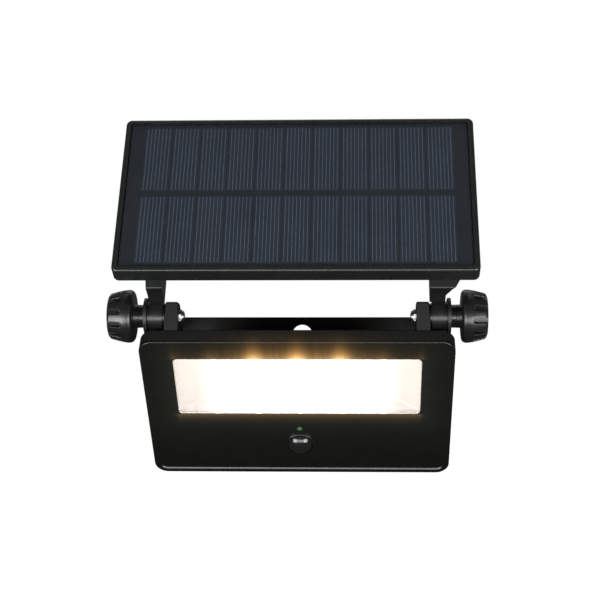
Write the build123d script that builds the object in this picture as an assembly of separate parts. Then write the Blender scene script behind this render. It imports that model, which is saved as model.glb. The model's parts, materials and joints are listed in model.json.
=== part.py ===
from build123d import *
import os

# Solar flood light on a wall bracket: solar panel and lamp head share one horizontal pivot axis.
# All lengths are millimetres and all angles degrees.
# Row frame: origin at the middle of the bracket's wall face, +X right as seen from the front,
# +Y into the wall, +Z up.  Lamp pieces are drawn upright and panel pieces lying flat, each about
# the pivot axis as origin, and are then turned and moved into place.

# ---- pivot axis and rest pose ----------------------------------------------------------------
AXIS_OUT = 80.0          # pivot axis in front of the wall
AXIS_UP = 25.0           # pivot axis above the middle of the wall plate
LAMP_TILT = 34.0         # lamp face below the horizontal
PANEL_SLOPE = 50.4       # panel above the horizontal

# ---- pivot stack, distances from the middle plane outwards -----------------------------------
BOLT_END = 72.6
NUT_IN, NUT_OUT = 73.0, 77.8
LUG_IN, LUG_OUT = 76.2, 85.1
FRICTION_OUT = 86.1
BARREL_IN, BARREL_OUT = 86.2, 96.0
EAR_IN, EAR_OUT = 96.2, 98.2
SPACER_IN, SPACER_OUT = 98.3, 101.6
KNOB_NECK = 101.7
KNOB_IN, KNOB_OUT = 105.0, 121.4
BOLT_R = 2.45            # M5 shank
BOLT_HOLE_R = 2.75
BOLT_FLATS = 8.0
LUG_R = 8.6
LUG_EDGE = 0.6
LUG_LEAN = 1.6           # how far the outer face leans in at the lug's top
FRICTION_R = 8.4
BARREL_R = 9.5
EAR_R = 11.8
SPACER_R = 7.4
KNOB_NECK_R = 7.5
KNOB_R = 17.1            # at the widest, beside its inner face
KNOB_WIDEST = KNOB_IN + 3.2
KNOB_EDGE_R = 14.9       # where the side meets the rounded outer edge
KNOB_FACE_R = 11.6
KNOB_RECESS_R = 9.0
KNOB_GRIPS = 12
GRIP_W = 3.4
GRIP_L = 9.5
GRIP_FLOOR_R = 13.5
GRIP_PHASE = {"left": 11.0, "right": 2.5}   # first grip, turned about +X from straight up
BOLT_HEAD_IN = KNOB_OUT - 7.0
BOLT_HEAD_T = 3.5

# ---- wall bracket ----------------------------------------------------------------------------
BRACKET_T = EAR_OUT - EAR_IN
BRACKET_BEND = 3.0       # inside radius of each bend
PLATE_HALF = 11.9        # half the height of the wall plate
CENTRE_HOLE_R = 7.0
SCREW_HOLE_R = 2.75
SCREW_SPACING = 120.0

# ---- solar panel, drawn flat with its cells up -----------------------------------------------
PANEL_W = 230.0
PANEL_D = 120.1
PANEL_NEAR = 6.65        # near edge behind the axis
PANEL_TOP = 43.9
PANEL_BOTTOM = 31.8
PANEL_CORNER = 4.0
PANEL_TOP_EDGE, PANEL_BOTTOM_EDGE = 1.8, 1.2
PANEL_RIM = 3.7
PANEL_MID = PANEL_NEAR + PANEL_D / 2
LEDGE_Z = 41.0
BACKSHEET_T = 1.4
CELL_T = 0.25
COVER_SHEET_T = 0.55
GROOVE = 0.6
COVER_MARGIN = 3.0
BACK_COVER_T = 2.0
CELL_COLUMNS = 11
CELL_PITCH = 18.5
CELL_W = 17.4
CELL_L = 51.0
CELL_ROW_GAP = 4.6
PANEL_SCREW_INSET = 8.5
PANEL_SCREW_Y = (PANEL_NEAR + PANEL_SCREW_INSET, PANEL_NEAR + PANEL_D - PANEL_SCREW_INSET)
PANEL_SCREWS = [(x, y) for x in (-104.0, 0.0, 104.0) for y in PANEL_SCREW_Y]
ARM_IN, ARM_OUT = 84.4, 94.4
ARM_FOOT_BACK = 38.0
ARM_SCREWS = [(88.0, 15.5), (88.0, 32.0)]
ARM_FACE = 3.3           # front face of the arm, behind the pivot axis
ARM_CREASE = 27.6        # height at which the arm's face turns back
ARM_PLATE_R = 1.4
GUSSET_REACH = {"left": 0.4, "right": 8.3}

# ---- lamp head, drawn upright with its light side at -Y --------------------------------------
LAMP_W = 201.6
LAMP_H = 123.8
LAMP_CORNER = 9.0
BEZEL_EDGE, BRIM_EDGE = 0.7, 0.9
LAMP_FRONT = -24.4
BEZEL_T = 2.5
BEZEL_BACK = LAMP_FRONT + BEZEL_T
BRIM_BACK = -13.0        # back of the full-width part of the housing
WAIST_BACK = -11.4
HOUSING_BACK = 8.0
HOUSING_WALL = 2.4
WAIST_W, WAIST_H = 191.0, 121.0
BACK_W, BACK_TOP, BACK_BOTTOM = 182.0, -30.0, -104.0
WINDOW_W = 159.8
WINDOW_TOP, WINDOW_BOTTOM = -15.6, -66.2
WINDOW_MID = (WINDOW_TOP + WINDOW_BOTTOM) / 2
WINDOW_H = WINDOW_TOP - WINDOW_BOTTOM
WINDOW_LAP = 3.0
WINDOW_CORNER = 3.0
WINDOW_CHAMFER = 0.4
LENS_PAD_FRONT = LAMP_FRONT + 0.9
LENS_PAD_GAP = 0.15
LENS_GASKET_T = 0.5
LENS_T = 2.0
LENS_BACK = BEZEL_BACK + LENS_GASKET_T + LENS_T
REFLECTOR_BACK = -7.9
REFLECTOR_WALL = 1.2
REFLECTOR_FLOOR_W, REFLECTOR_FLOOR_TOP, REFLECTOR_FLOOR_BOTTOM = 118.0, -22.0, -60.0
LED_X = [-56.0, -28.0, 0.0, 28.0, 56.0]
LED_Z = [-30.0, -41.0, -52.0]
LED_BOARD_FRONT = -6.6
LED_BOARD_T = 1.5
PIR_Z = -95.3
PIR_HOLE_R = 9.5
PIR_RING_R = 10.3
PIR_DOME_R = 8.7
PIR_DOME_RISE = 5.0
INDICATOR_Z = -80.4
INDICATOR_R = 1.6
BOARD_FRONT = -14.5
BOARD_T = 1.6
BATTERY_R = 9.2
BATTERY_X0, BATTERY_X1 = 16.6, 81.6
BATTERY_Y, BATTERY_Z = -10.2, -96.6
CLOSING_SCREWS = [(x, z) for x in (-87.0, 87.0) for z in (-38.0, -96.0)]
BUTTON_Z = -92.0
BUTTON_R = 4.5
BUTTON_TRAVEL = 1.0
GLAND_X, GLAND_Z = -45.0, -44.0

AXIS = Location((0, -AXIS_OUT, AXIS_UP))
LAMP = Location((0, -AXIS_OUT, AXIS_UP), (LAMP_TILT, 0, 0))
PANEL = Location((0, -AXIS_OUT, AXIS_UP), (PANEL_SLOPE, 0, 0))


# ---- drawing helpers -------------------------------------------------------------------------
def block(x0, x1, y0, y1, z0, z1):
    return Pos((x0 + x1) / 2, (y0 + y1) / 2, (z0 + z1) / 2) * Box(x1 - x0, y1 - y0, z1 - z0)


def rod_x(radius, x0, x1, y=0.0, z=0.0):
    return Pos((x0 + x1) / 2, y, z) * Rot(0, 90, 0) * Cylinder(radius, x1 - x0)


def rod_y(radius, y0, y1, x=0.0, z=0.0):
    return Pos(x, (y0 + y1) / 2, z) * Rot(90, 0, 0) * Cylinder(radius, y1 - y0)


def rod_z(radius, z0, z1, x=0.0, y=0.0):
    return Pos(x, y, (z0 + z1) / 2) * Cylinder(radius, z1 - z0)


def prism_x(sketch, x0, x1):
    """Side-view sketch (y, z) pulled from x0 to x1."""
    return extrude(Plane((x0, 0, 0), x_dir=(0, 1, 0), z_dir=(1, 0, 0)) * sketch, amount=x1 - x0)


def prism_y(sketch, y0, y1):
    """Front-view sketch (x, z) pulled forwards from y1 to y0."""
    return extrude(Plane((0, y1, 0), x_dir=(1, 0, 0), z_dir=(0, -1, 0)) * sketch, amount=y1 - y0)


def prism_z(sketch, z0, z1):
    """Top-view sketch (x, y) pulled from z0 up to z1."""
    return extrude(Plane((0, 0, z0)) * sketch, amount=z1 - z0)


def front_loft(front_sketch, y0, back_sketch, y1):
    """Solid between two front-view sketches (x, z) at y0 and y1."""
    planes = [Plane((0, y, 0), x_dir=(1, 0, 0), z_dir=(0, -1, 0)) for y in (y0, y1)]
    return loft([planes[0] * front_sketch, planes[1] * back_sketch])


def rounded(width, height, corner, middle=0.0):
    return Pos(0, middle) * RectangleRounded(width, height, corner)


def strap(circles):
    """Outline wrapped tightly round circles given as (y, z, radius)."""
    return make_hull([edge for y, z, r in circles for edge in (Pos(y, z) * Circle(r)).edges()])


def hexagon(across_flats):
    return RegularPolygon(across_flats / 2, 6, major_radius=False)


def both_sides(right):
    """Left and right copies of a piece drawn on the right."""
    return {"left": mirror(right, about=Plane.YZ), "right": right}


def one_node(solids):
    return Compound(list(solids))


def outer_edges(solid, axis, position):
    """Edges of the outermost loop of the face lying at a position along an axis."""
    return solid.faces().filter_by(axis).sort_by(axis)[position].outer_wire().edges()


# ---- wall bracket ----------------------------------------------------------------------------
def wall_bracket():
    """Steel strip bent into a U, its ears rising from the wall plate to the pivot."""
    reach = AXIS_OUT + EAR_R
    outside = block(-EAR_OUT, EAR_OUT, -reach, 0, -60, 60)
    outside = fillet(outside.edges().filter_by(Axis.Z).group_by(Axis.Y)[-1], BRACKET_BEND + BRACKET_T)
    inside = block(-EAR_IN, EAR_IN, -reach - 1, -BRACKET_T, -61, 61)
    inside = fillet(inside.edges().filter_by(Axis.Z).group_by(Axis.Y)[-1], BRACKET_BEND)
    plate_corners = [(y, side * (PLATE_HALF - 0.5), 0.5) for y in (-0.5, -6.0) for side in (-1, 1)]
    side_view = strap([(-AXIS_OUT, AXIS_UP, EAR_R)] + plate_corners)
    plate_end = block(-EAR_OUT, EAR_OUT, -0.5, 0, -PLATE_HALF, PLATE_HALF)
    bracket = (outside - inside) & (prism_x(side_view, -EAR_OUT, EAR_OUT) + plate_end)
    bracket -= rod_x(BOLT_HOLE_R, -EAR_OUT - 1, EAR_OUT + 1, -AXIS_OUT, AXIS_UP)
    bracket -= rod_y(CENTRE_HOLE_R, -BRACKET_T - 1, 1)
    for x in (-SCREW_SPACING / 2, SCREW_SPACING / 2):
        bracket -= rod_y(SCREW_HOLE_R, -BRACKET_T - 1, 1, x)
    return bracket


# ---- solar panel -----------------------------------------------------------------------------
def panel_frame():
    frame = prism_z(rounded(PANEL_W, PANEL_D, PANEL_CORNER, PANEL_MID), PANEL_BOTTOM, PANEL_TOP)
    frame = fillet(outer_edges(frame, Axis.Z, -1), PANEL_TOP_EDGE)
    frame = fillet(outer_edges(frame, Axis.Z, 0), PANEL_BOTTOM_EDGE)
    opening = rounded(PANEL_W - 2 * PANEL_RIM, PANEL_D - 2 * PANEL_RIM, 1.5, PANEL_MID)
    frame -= prism_z(opening, LEDGE_Z, PANEL_TOP + 1)
    cavity = rounded(PANEL_W - 14, PANEL_D - 14, 2.0, PANEL_MID)
    frame -= prism_z(cavity, PANEL_BOTTOM - 1, LEDGE_Z + 1)
    hollow = rounded(PANEL_W - 2 * PANEL_RIM, PANEL_D - 2 * PANEL_RIM, 2.0, PANEL_MID)
    frame -= prism_z(hollow, PANEL_BOTTOM + BACK_COVER_T, LEDGE_Z - 1.6)
    recess = rounded(PANEL_W - 2 * COVER_MARGIN, PANEL_D - 2 * COVER_MARGIN, 2.0, PANEL_MID)
    frame -= prism_z(recess, PANEL_BOTTOM - 1, PANEL_BOTTOM + BACK_COVER_T)
    for x, y in PANEL_SCREWS:
        frame += rod_z(3.5, PANEL_BOTTOM + BACK_COVER_T, LEDGE_Z, x, y)
    for x, y in PANEL_SCREWS:
        frame -= rod_z(1.45, PANEL_BOTTOM, LEDGE_Z - 1.5, x, y)
    return frame


def panel_back_cover():
    margin = 2 * (COVER_MARGIN + 0.1)
    cover = prism_z(rounded(PANEL_W - margin, PANEL_D - margin, 1.9, PANEL_MID),
                    PANEL_BOTTOM, PANEL_BOTTOM + BACK_COVER_T)
    for x, y in PANEL_SCREWS:
        cover -= rod_z(1.7, PANEL_BOTTOM - 1, PANEL_BOTTOM + BACK_COVER_T + 1, x, y)
    for side in (-1, 1):
        for x, y in ARM_SCREWS:
            cover += rod_z(3.4, PANEL_BOTTOM, PANEL_BOTTOM + 6.0, side * x, y)
            cover -= rod_z(1.5, PANEL_BOTTOM - 1, PANEL_BOTTOM + 5.0, side * x, y)
    cover -= rod_z(3.0, PANEL_BOTTOM - 1, PANEL_BOTTOM + 3, 0, PANEL_MID)
    return cover


def laminate_layer(low, thickness):
    width = PANEL_W - 2 * (PANEL_RIM + GROOVE)
    depth = PANEL_D - 2 * (PANEL_RIM + GROOVE)
    return prism_z(rounded(width, depth, 1.0, PANEL_MID), low, low + thickness)


def solar_cells():
    low = LEDGE_Z + BACKSHEET_T
    row_offset = (CELL_L + CELL_ROW_GAP) / 2
    cells = []
    for column in range(CELL_COLUMNS):
        x = (column - (CELL_COLUMNS - 1) / 2) * CELL_PITCH
        for y in (PANEL_MID - row_offset, PANEL_MID + row_offset):
            cells.append(Pos(x, y, low + CELL_T / 2) * Box(CELL_W, CELL_L, CELL_T))
    return one_node(cells)


def terminal_board():
    low = PANEL_BOTTOM + BACK_COVER_T + 1.6
    board = block(-14, 14, PANEL_MID + 8, PANEL_MID + 24, low, low + 1.2)
    for x in (-10, 10):
        board += rod_z(1.6, PANEL_BOTTOM + BACK_COVER_T, low, x, PANEL_MID + 16)
    return board


def blocking_diode():
    low = PANEL_BOTTOM + BACK_COVER_T + 2.8
    body = rod_x(1.3, -2.6, 2.6, PANEL_MID + 16, low + 1.35)
    for x0, x1 in ((-6.0, -2.6), (2.6, 6.0)):
        body += rod_x(0.4, x0, x1, PANEL_MID + 16, low + 1.35)
    for x in (-6.0, 6.0):
        body += rod_z(0.4, low, low + 1.75, x, PANEL_MID + 16)
    return body


def panel_arm(side):
    root_r = 2.6
    crease = (ARM_FACE + ARM_PLATE_R, ARM_CREASE, ARM_PLATE_R)
    under = PANEL_BOTTOM - ARM_PLATE_R
    foot = [(11.5, under, ARM_PLATE_R), (30.0, under, ARM_PLATE_R)]
    profile = strap([(ARM_FACE + root_r, 0, root_r), crease] + foot)
    arm = prism_x(profile, BARREL_IN, ARM_OUT) + rod_x(BARREL_R, BARREL_IN, BARREL_OUT)
    arm += prism_x(profile, ARM_IN, BARREL_IN) & block(ARM_IN, BARREL_IN, -40, 60, 12.0, 60)
    arm += block(80, 99, PANEL_NEAR + 2.2, ARM_FOOT_BACK, PANEL_BOTTOM - 2.6, PANEL_BOTTOM)
    reach = GUSSET_REACH[side]
    outer = ARM_OUT + reach
    web = prism_x(strap([(ARM_FACE + ARM_PLATE_R, 20.0, ARM_PLATE_R), crease, foot[0]]), ARM_OUT, outer)
    flare = Polyline((ARM_OUT, 20.0), (ARM_OUT + reach / 2, ARM_CREASE), (outer, under), (outer, 40),
                     (ARM_OUT, 40), close=True)
    arm += web & prism_y(make_face(flare), -20, 40)
    arm -= rod_x(BOLT_HOLE_R, BARREL_IN - 1, BARREL_OUT + 1)
    for x, y in ARM_SCREWS:
        arm -= rod_z(1.7, PANEL_BOTTOM - 4, PANEL_BOTTOM + 1, x, y)
        arm -= rod_z(3.2, 14.0, PANEL_BOTTOM - 2.0, x, y)
    return arm if side == "right" else mirror(arm, about=Plane.YZ)


def pan_screw(x, y, head_z, length, head_r=2.9, shank_r=1.4):
    """Screw driven upwards, its head's bearing face at head_z."""
    screw = rod_z(shank_r, head_z, head_z + length, x, y) + rod_z(head_r, head_z - 1.8, head_z, x, y)
    for angle in (0, 90):
        screw -= Pos(x, y, head_z - 1.8) * Rot(0, 0, angle) * Box(3.0, 0.7, 2.0)
    return screw


def cable_gland():
    """Gland whose cable leaves along +Z, its seat at z = 0."""
    gland = rod_z(7.0, 0, 1.6) + prism_z(hexagon(12.0), 1.6, 5.6)
    gland += Pos(0, 0, 5.6) * extrude(Circle(5.2), amount=5.0, taper=8)
    gland += rod_z(2.9, -3.2, 0)
    return gland - rod_z(2.2, -5, 12)


# ---- lamp head -------------------------------------------------------------------------------
def lamp_outline(inset, corner):
    return rounded(LAMP_W - 2 * inset, LAMP_H - 2 * inset, corner, -LAMP_H / 2)


def housing_solid(inset):
    """Outer body of the housing, or its hollow when inset by the wall thickness."""
    waist = rounded(WAIST_W - 2 * inset, WAIST_H - 2 * inset, LAMP_CORNER - inset, -LAMP_H / 2)
    back_height = BACK_TOP - BACK_BOTTOM - 2 * inset
    back = rounded(BACK_W - 2 * inset, back_height, LAMP_CORNER - inset, (BACK_TOP + BACK_BOTTOM) / 2)
    brim_back = BRIM_BACK - inset
    body = prism_y(lamp_outline(inset, LAMP_CORNER - inset), BEZEL_BACK, brim_back)
    if inset == 0:
        body = fillet(outer_edges(body, Axis.Y, -1), BRIM_EDGE)
    body += prism_y(waist, brim_back - 0.5, WAIST_BACK)
    return body + front_loft(waist, WAIST_BACK, back, HOUSING_BACK - inset)


def pivot_lug():
    """Flat-fronted lug standing on the housing's top, with softened edges."""
    profile = strap([(0, 0, LUG_R), (-0.5, 11.0, 1.5), (-11.4, -0.6, 1.2), (-14, -14, 3), (4, -24, 3)])
    lug = prism_x(profile, LUG_IN, LUG_OUT)
    lug = fillet(lug.faces().filter_by(Axis.X).edges(), LUG_EDGE)
    top = LUG_OUT - LUG_LEAN
    wedge = Polyline((LUG_OUT, 3.0), (top, 13.0), (LUG_OUT + 1, 13.0), (LUG_OUT + 1, 3.0), close=True)
    return lug - prism_y(make_face(wedge), -30, 30)


def rear_housing():
    housing = housing_solid(0)
    for lug in both_sides(pivot_lug()).values():
        housing += lug
    housing -= housing_solid(HOUSING_WALL)
    for x, z in CLOSING_SCREWS:
        housing += rod_y(3.6, BEZEL_BACK + 5.0, HOUSING_BACK - 1.0, x, z)
    for x, z in CLOSING_SCREWS:
        housing -= rod_y(1.7, BEZEL_BACK, HOUSING_BACK + 1, x, z)
        housing -= rod_y(3.1, -6.0, HOUSING_BACK + 1, x, z)
    for side in (-1, 1):
        near, far = sorted((side * (LUG_OUT + 0.05), side * 97.0))
        housing -= rod_x(BARREL_R + 0.9, near, far)
        near, far = sorted((side * (LUG_IN - 1), side * (LUG_OUT + 1)))
        housing -= rod_x(BOLT_HOLE_R, near, far)
        near, far = sorted((side * (LUG_IN - 1), side * NUT_OUT))
        housing -= prism_x(hexagon(BOLT_FLATS + 0.1), near, far)
    housing -= rod_y(BUTTON_R + 0.3, 0, HOUSING_BACK + 1, 0, BUTTON_Z)
    housing -= rod_y(3.0, 0, HOUSING_BACK + 1, GLAND_X, GLAND_Z)
    return housing


def front_bezel():
    bezel = prism_y(lamp_outline(0, LAMP_CORNER), LAMP_FRONT, BEZEL_BACK)
    bezel = fillet(outer_edges(bezel, Axis.Y, 0), BEZEL_EDGE)
    field = front_loft(lamp_outline(3.4, LAMP_CORNER - 3.4), LAMP_FRONT - 0.01,
                       lamp_outline(4.2, LAMP_CORNER - 4.2), LAMP_FRONT + 0.7)
    bezel -= field
    bezel -= front_loft(window_outline(WINDOW_CHAMFER), LAMP_FRONT + 0.2, window_outline(0), LAMP_FRONT + 1.0)
    bezel -= prism_y(window_outline(0), LAMP_FRONT, BEZEL_BACK + 1)
    bezel -= rod_y(PIR_HOLE_R, LAMP_FRONT - 1, BEZEL_BACK + 1, 0, PIR_Z)
    bezel -= rod_y(INDICATOR_R + 0.05, LAMP_FRONT - 1, BEZEL_BACK + 1, 0, INDICATOR_Z)
    for x, z in CLOSING_SCREWS:
        bezel += rod_y(3.6, BEZEL_BACK, BEZEL_BACK + 4.9, x, z)
    for x, z in CLOSING_SCREWS:
        bezel -= rod_y(1.45, BEZEL_BACK - 1.0, BEZEL_BACK + 6, x, z)
    return bezel - gasket_ring()


def gasket_ring():
    ring = prism_y(lamp_outline(0.9, LAMP_CORNER - 0.9), BEZEL_BACK - 0.6, BEZEL_BACK)
    return ring - prism_y(lamp_outline(2.1, LAMP_CORNER - 2.1), BEZEL_BACK - 0.7, BEZEL_BACK + 0.1)


def window_outline(outset):
    """The window's opening, grown all round."""
    return rounded(WINDOW_W + 2 * outset, WINDOW_H + 2 * outset, WINDOW_CORNER + outset, WINDOW_MID)


def window_sheet(front, thickness):
    return prism_y(window_outline(WINDOW_LAP), front, front + thickness)


def window_lens():
    """Clear sheet whose raised pad fills the bezel's opening."""
    pad = prism_y(window_outline(-LENS_PAD_GAP), LENS_PAD_FRONT, BEZEL_BACK + LENS_GASKET_T)
    pad = fillet(outer_edges(pad, Axis.Y, 0), 0.3)
    return window_sheet(BEZEL_BACK + LENS_GASKET_T, LENS_T) + pad


def lens_gasket():
    return window_sheet(BEZEL_BACK, LENS_GASKET_T) - prism_y(window_outline(0.4), BEZEL_BACK - 1, LENS_BACK)


def reflector():
    floor_mid = (REFLECTOR_FLOOR_TOP + REFLECTOR_FLOOR_BOTTOM) / 2
    floor_h = REFLECTOR_FLOOR_TOP - REFLECTOR_FLOOR_BOTTOM
    floor = rounded(REFLECTOR_FLOOR_W, floor_h, 3.0, floor_mid)
    floor_out = rounded(REFLECTOR_FLOOR_W + 2.4, floor_h + 2.4, 4.2, floor_mid)
    tray = front_loft(window_outline(REFLECTOR_WALL), LENS_BACK, floor_out, REFLECTOR_BACK + REFLECTOR_WALL)
    tray += window_sheet(LENS_BACK, REFLECTOR_WALL)
    tray -= front_loft(window_outline(0), LENS_BACK - 0.01, floor, REFLECTOR_BACK)
    for x in LED_X:
        for z in LED_Z:
            tray -= Pos(x, REFLECTOR_BACK, z) * Box(4.4, 4, 3.8)
    return tray


def led_board():
    mid = (REFLECTOR_FLOOR_TOP + REFLECTOR_FLOOR_BOTTOM) / 2
    return prism_y(rounded(126, 42, 2.0, mid), LED_BOARD_FRONT, LED_BOARD_FRONT + LED_BOARD_T)


def leds():
    return one_node(Pos(x, LED_BOARD_FRONT - 0.4, z) * Box(3.5, 0.8, 2.8) for x in LED_X for z in LED_Z)


def control_board():
    board = block(-14.5, 14.5, BOARD_FRONT, BOARD_FRONT + BOARD_T, -117.0, -74.0)
    for x in (-11.5, 11.5):
        for z in (-77.0, -114.0):
            board -= rod_y(1.3, BOARD_FRONT - 1, BOARD_FRONT + BOARD_T + 1, x, z)
    return board


def board_components():
    back = BOARD_FRONT + BOARD_T
    chip = block(-11.0, -5.0, back, back + 1.5, -106.0, -101.0)
    coil = rod_y(3.4, back, back + 3.6, 8.5, -104.0)
    capacitors = [rod_y(2.5, back, back + 5.6, x, -82.0) for x in (-8.5, 8.5)]
    connectors = [block(x - 3.2, x + 3.2, back, back + 4.6, -96.5, -91.0) for x in (-10.4, 10.4)]
    return one_node([chip, coil] + capacitors + connectors)


def mode_switch():
    back = BOARD_FRONT + BOARD_T
    switch = block(-3, 3, back, back + 3.4, BUTTON_Z - 3, BUTTON_Z + 3)
    return switch + rod_y(1.7, back + 3.4, back + 4.4, 0, BUTTON_Z)


def button_cap():
    tip = BOARD_FRONT + BOARD_T + 4.4 + BUTTON_TRAVEL + 0.05
    cap = rod_y(BUTTON_R, HOUSING_BACK - 2.2, HOUSING_BACK + 2.4, 0, BUTTON_Z)
    cap = fillet(outer_edges(cap, Axis.Y, -1), 0.8)
    cap += rod_y(2.0, tip, HOUSING_BACK - 2.2, 0, BUTTON_Z)
    return cap


def button_surround():
    ring = rod_y(7.4, HOUSING_BACK, HOUSING_BACK + 1.3, 0, BUTTON_Z)
    ring = fillet(outer_edges(ring, Axis.Y, -1), 0.8)
    return ring - rod_y(BUTTON_R + 0.3, HOUSING_BACK - 1, HOUSING_BACK + 3, 0, BUTTON_Z)


def dome_arc(radius, rise):
    """Arc from the rim of a dome to its crown, in the (x, y) plane, about the Y axis."""
    ball = (radius * radius + rise * rise) / (2 * rise)
    crown = LAMP_FRONT - rise
    half = radius / 2
    sag = ball - (ball * ball - half * half) ** 0.5
    return ThreePointArc((radius, LAMP_FRONT), (half, crown + sag), (0, crown))


def pir_lens():
    outer, inner, flange = PIR_DOME_R, PIR_DOME_R - 0.9, PIR_HOLE_R + 1.2
    back = BEZEL_BACK + 1.2
    section = Curve() + [
        dome_arc(outer, PIR_DOME_RISE),
        Polyline((outer, LAMP_FRONT), (outer, BEZEL_BACK), (flange, BEZEL_BACK), (flange, back),
                 (inner, back), (inner, LAMP_FRONT)),
        dome_arc(inner, PIR_DOME_RISE - 0.9),
        Line((0, LAMP_FRONT - PIR_DOME_RISE + 0.9), (0, LAMP_FRONT - PIR_DOME_RISE)),
    ]
    return Pos(0, 0, PIR_Z) * revolve(make_face(section), Axis.Y, 360)


def pir_ring():
    ring = rod_y(PIR_RING_R, LAMP_FRONT - 0.9, LAMP_FRONT + 0.7, 0, PIR_Z)
    ring = fillet(outer_edges(ring, Axis.Y, 0), 0.7)
    ring += rod_y(PIR_HOLE_R - 0.05, LAMP_FRONT - 0.2, BEZEL_BACK, 0, PIR_Z)
    return ring - rod_y(PIR_DOME_R + 0.1, LAMP_FRONT - 2, BEZEL_BACK + 1, 0, PIR_Z)


def pir_sensor():
    can = rod_y(4.1, BOARD_FRONT - 4.2, BOARD_FRONT - 0.4, 0, PIR_Z)
    can = fillet(outer_edges(can, Axis.Y, 0), 0.4)
    return can + rod_y(4.6, BOARD_FRONT - 0.4, BOARD_FRONT, 0, PIR_Z)


def indicator_light():
    pipe = rod_y(INDICATOR_R, LAMP_FRONT + 0.5, BOARD_FRONT - 1.6, 0, INDICATOR_Z)
    return pipe + rod_y(2.6, BEZEL_BACK, BEZEL_BACK + 1.0, 0, INDICATOR_Z)


def indicator_led():
    return block(-1.5, 1.5, BOARD_FRONT - 1.2, BOARD_FRONT, INDICATOR_Z - 1.0, INDICATOR_Z + 1.0)


def battery_cell():
    cell = rod_x(BATTERY_R, BATTERY_X0, BATTERY_X1 - 1.6, BATTERY_Y, BATTERY_Z)
    cell = fillet(outer_edges(cell, Axis.X, -1) + outer_edges(cell, Axis.X, 0), 0.7)
    return cell + rod_x(3.0, BATTERY_X1 - 1.6, BATTERY_X1, BATTERY_Y, BATTERY_Z)


def battery_tray():
    tray = block(BATTERY_X0 - 1.4, BATTERY_X1 + 1.4, BATTERY_Y - 1.0, 0.4, BATTERY_Z - 10.2, BATTERY_Z + 10.2)
    tray -= rod_x(BATTERY_R + 0.1, BATTERY_X0 - 0.1, BATTERY_X1 + 0.1, BATTERY_Y, BATTERY_Z)
    for x in (BATTERY_X0 + 14, BATTERY_X1 - 14):
        tray += rod_y(3.0, 0.4, HOUSING_BACK - HOUSING_WALL, x, BATTERY_Z + 2)
    return tray


def closing_screws():
    solids = []
    for x, z in CLOSING_SCREWS:
        screw = rod_y(1.4, BEZEL_BACK - 0.8, -6.0, x, z) + rod_y(2.9, -6.0, -4.0, x, z)
        for angle in (0, 90):
            screw -= Pos(x, -4.0, z) * Rot(0, angle, 0) * Box(3.0, 2.0, 0.7)
        solids.append(screw)
    return one_node(solids)


# ---- pivot hardware, drawn on the right ------------------------------------------------------
def knob_section():
    """Half of the knob's section (x, radius): rounded shoulder, gently tapering side, rounded outer edge."""
    shoulder_r = KNOB_R - 2.6
    taper_x = KNOB_OUT - 2.4
    outline = Curve() + [
        Polyline((KNOB_OUT, 0), (KNOB_IN, 0), (KNOB_IN, shoulder_r)),
        ThreePointArc((KNOB_IN, shoulder_r), (KNOB_IN + 0.9, KNOB_R - 0.8), (KNOB_WIDEST, KNOB_R)),
        ThreePointArc((KNOB_WIDEST, KNOB_R), (KNOB_IN + 9.5, KNOB_R - 0.8), (taper_x, KNOB_EDGE_R)),
        ThreePointArc((taper_x, KNOB_EDGE_R), (KNOB_OUT - 0.7, KNOB_EDGE_R - 1.2), (KNOB_OUT, KNOB_FACE_R)),
        Line((KNOB_OUT, KNOB_FACE_R), (KNOB_OUT, 0)),
    ]
    return make_face(outline)


def knob(phase):
    body = revolve(knob_section(), Axis.X, 360)
    body += rod_x(KNOB_NECK_R, KNOB_NECK, KNOB_IN)
    half = GRIP_W / 2
    slot_end = KNOB_OUT - GRIP_L + half
    for grip in range(KNOB_GRIPS):
        slot = block(slot_end, KNOB_OUT + 1, -half, half, GRIP_FLOOR_R, KNOB_R + 2)
        slot += rod_z(half, GRIP_FLOOR_R, KNOB_R + 2, slot_end, 0)
        body -= Rot(phase + 360 * grip / KNOB_GRIPS, 0, 0) * slot
    body -= rod_x(KNOB_RECESS_R, KNOB_OUT - 1.5, KNOB_OUT + 1)
    body -= prism_x(hexagon(BOLT_FLATS + 0.02), BOLT_HEAD_IN, KNOB_OUT + 1)
    return body - rod_x(BOLT_R + 0.01, KNOB_NECK - 1, KNOB_OUT)


def knob_bolt():
    head = prism_x(hexagon(BOLT_FLATS), BOLT_HEAD_IN, BOLT_HEAD_IN + BOLT_HEAD_T)
    bolt = rod_x(BOLT_R, BOLT_END, BOLT_HEAD_IN) + head
    return chamfer(bolt.faces().filter_by(Axis.X).sort_by(Axis.X)[0].edges(), 0.4)


def ring_washer(radius, x0, x1):
    return rod_x(radius, x0, x1) - rod_x(BOLT_HOLE_R, x0 - 1, x1 + 1)


def lock_nut():
    nut = prism_x(hexagon(BOLT_FLATS), NUT_IN, NUT_OUT)
    nut &= rod_x(BOLT_FLATS / 2 * 1.12, NUT_IN, NUT_OUT)
    return nut - rod_x(BOLT_R + 0.08, NUT_IN - 1, NUT_OUT + 1)


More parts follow.
